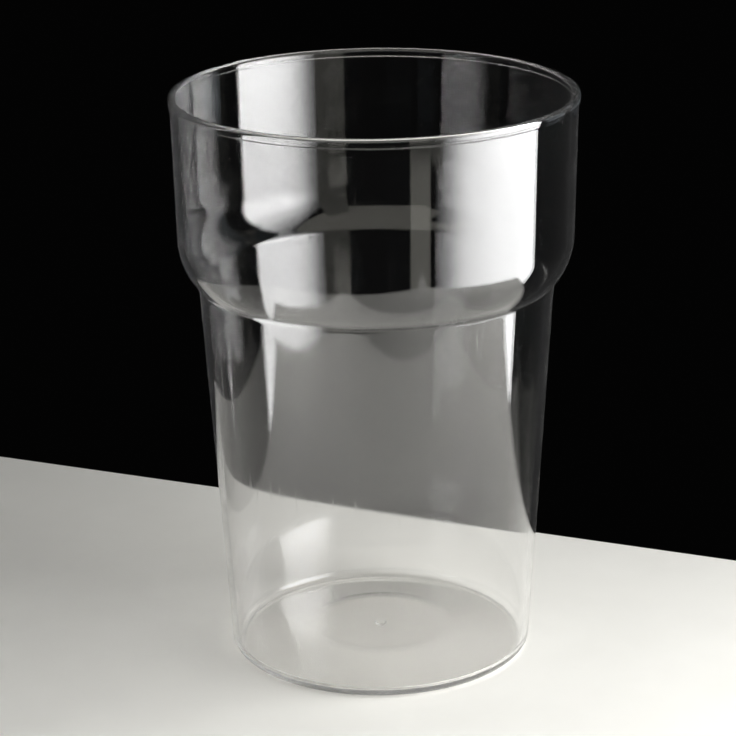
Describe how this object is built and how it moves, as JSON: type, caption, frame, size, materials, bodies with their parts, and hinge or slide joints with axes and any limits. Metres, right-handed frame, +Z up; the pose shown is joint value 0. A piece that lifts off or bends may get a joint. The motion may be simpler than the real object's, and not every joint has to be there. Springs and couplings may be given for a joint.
{
  "type": "plastic tumbler",
  "caption": "Clear moulded plastic tumbler: tapered body, rounded shoulder, wide collar, beaded rim and a hollowed base, for cold drinks.",
  "frame": {"origin": "centre of the foot ring, on the surface that the tumbler stands on", "axes": "+Z up along the tumbler's own axis, from the foot towards the open rim; X and Y are alike, because the form is fully round"},
  "size_m": [0.09, 0.09, 0.1296],
  "materials": {
    "clear_plastic": "clear, high gloss, moulded"
  },
  "bodies": {
    "root": {"tumbler": "clear_plastic"}
  },
  "joints": []
}
